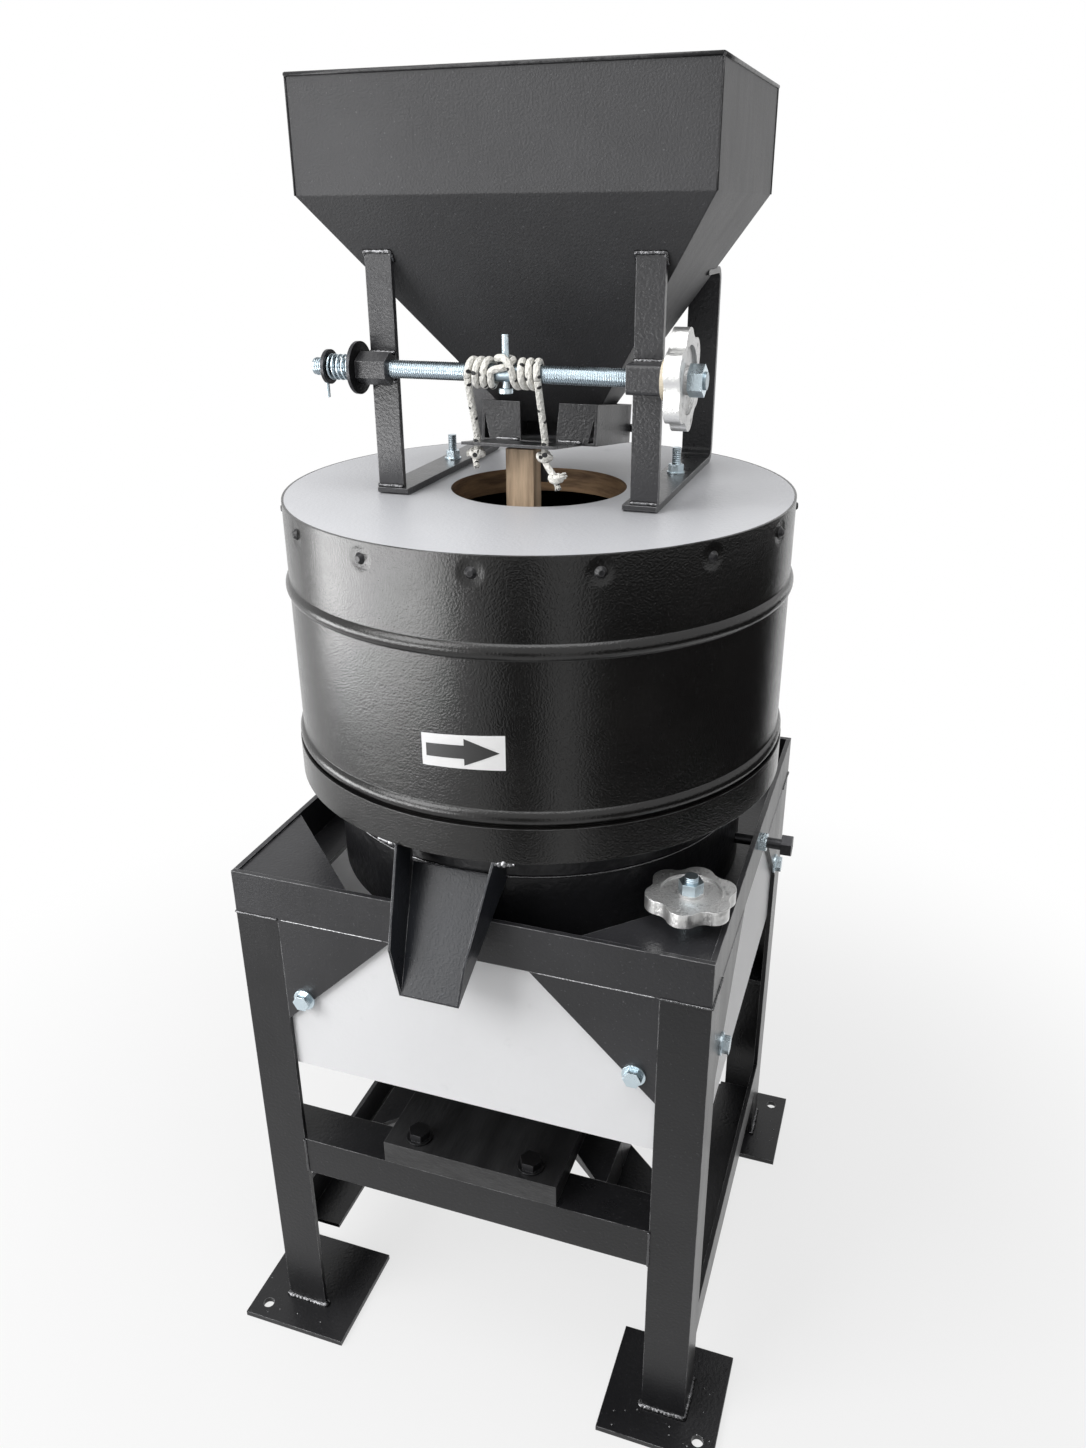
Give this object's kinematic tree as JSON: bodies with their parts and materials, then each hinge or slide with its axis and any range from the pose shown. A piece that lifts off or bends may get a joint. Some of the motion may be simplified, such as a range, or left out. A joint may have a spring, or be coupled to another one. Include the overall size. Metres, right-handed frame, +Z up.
{
  "type": "stone grain mill",
  "caption": "Belt-driven stone grain mill on an angle-iron stand, with a tapered hopper, rope-hung feed shoe, drum casing over horizontal stones, front flour chute and lobed handwheels.",
  "frame": {"origin": "on the floor, under the mill's vertical axis, at the centre of the floor anchors", "axes": "+Z up along the spindle, +X to the viewer's right along the feed rod, -Y to the front with the flour chute"},
  "size_m": [0.532, 0.548, 1.2365],
  "materials": {
    "frame_paint": "satin",
    "casing_paint": "semi-gloss, fine orange peel",
    "hopper_paint": "matte hammered",
    "panel_white": "semi-gloss",
    "lid_paint": "grey paint on plywood",
    "plank_paint": "black paint",
    "timber": "raw",
    "zinc": "bright zinc",
    "dark_hardware": "black oxide",
    "steel": "machined",
    "cast_iron": "as cast",
    "aluminium": "as cast, turned edges",
    "bronze": "machined",
    "stone": "dressed",
    "spacer": "cream nylon",
    "rope": "braided, black flecks"
  },
  "bodies": {
    "frame": {"front_legs": "frame_paint", "rear_legs": "frame_paint", "foot_plates": "frame_paint", "apron_front": "frame_paint", "apron_rear": "frame_paint", "apron_left": "frame_paint", "apron_right": "frame_paint", "rail_front": "frame_paint", "rail_rear": "frame_paint", "side_rails": "frame_paint", "corner_gussets": "frame_paint", "guard_front": "panel_white", "side_guards": "panel_white", "guard_bolts": "zinc", "corner_decks": "frame_paint", "plank_bearers": "frame_paint", "bridge_plank": "plank_paint", "plank_bolts": "dark_hardware", "centring_bolts": "dark_hardware", "centring_nuts": "zinc", "stone_pan": "casing_paint", "bed_stone": "stone", "neck_bush": "bronze", "lower_bush": "bronze", "flour_trough": "casing_paint", "flour_chute": "casing_paint", "casing_drum": "casing_paint", "casing_lid": "lid_paint", "rim_screws": "steel", "hopper": "hopper_paint", "hopper_bracket_left": "frame_paint", "hopper_bracket_right": "frame_paint", "hopper_legs": "frame_paint", "bracket_studs": "zinc", "rod_sleeve_left": "frame_paint", "rod_sleeve_right": "frame_paint", "shoe_hinge": "frame_paint", "lever_fulcrum": "frame_paint", "rope_runs": "rope"},
    "lift": {"thrust_pad": "bronze"},
    "runner": {"spindle": "steel", "drive_pulley": "cast_iron", "runner_stone": "stone", "runner_hoop": "casing_paint", "rynd": "cast_iron", "damsel": "steel"},
    "lever": {"lifting_lever": "frame_paint", "footstep_cup": "cast_iron"},
    "gap_screw": {"gap_screw": "zinc", "gap_wheel": "aluminium"},
    "feed_rod": {"feed_rod": "zinc", "feed_wheel": "aluminium", "feed_washers": "dark_hardware", "feed_spacer": "spacer", "feed_fasteners": "zinc", "feed_spring": "zinc", "rope_windings": "rope"},
    "shoe": {"feed_shoe": "hopper_paint", "shaker_stick": "timber", "rope_knots": "rope"}
  },
  "joints": [
    {"name": "gap_screw_turn", "type": "hinge", "parent": "frame", "child": "gap_screw", "pos_m": [0.195, -0.168, 0.6], "axis": [0, 0, -1], "range_deg": [0, 1440]},
    {"name": "lever_tilt", "type": "hinge", "parent": "frame", "child": "lever", "pos_m": [-0.04546, 0.03916, 0.19], "axis": [-0.6527, -0.7576, 0], "range_deg": [0, 1.3]},
    {"name": "stone_lift", "type": "slide", "parent": "frame", "child": "lift", "axis": [0, 0, 1], "range_m": [0, 0.00132]},
    {"name": "spindle_turn", "type": "hinge", "parent": "lift", "child": "runner", "pos_m": [0, 0, 0.4], "axis": [0, 0, 1], "continuous": true},
    {"name": "feed_rod_turn", "type": "hinge", "parent": "frame", "child": "feed_rod", "pos_m": [0, -0.081, 1.0155], "axis": [1, 0, 0], "range_deg": [0, 70]},
    {"name": "shoe_tilt", "type": "hinge", "parent": "frame", "child": "shoe", "pos_m": [0, 0.126, 0.9395], "axis": [1, 0, 0], "range_deg": [0, 4.38], "deforming": ["rope_runs"]}
  ],
  "couplings": [
    {"joint": "gap_screw_turn", "follows": "stone_lift", "rad_per_m": 18993},
    {"joint": "lever_tilt", "follows": "stone_lift", "rad_per_m": 16.667},
    {"joint": "shoe_tilt", "follows": "feed_rod_turn", "ratio": 0.05685}
  ]
}
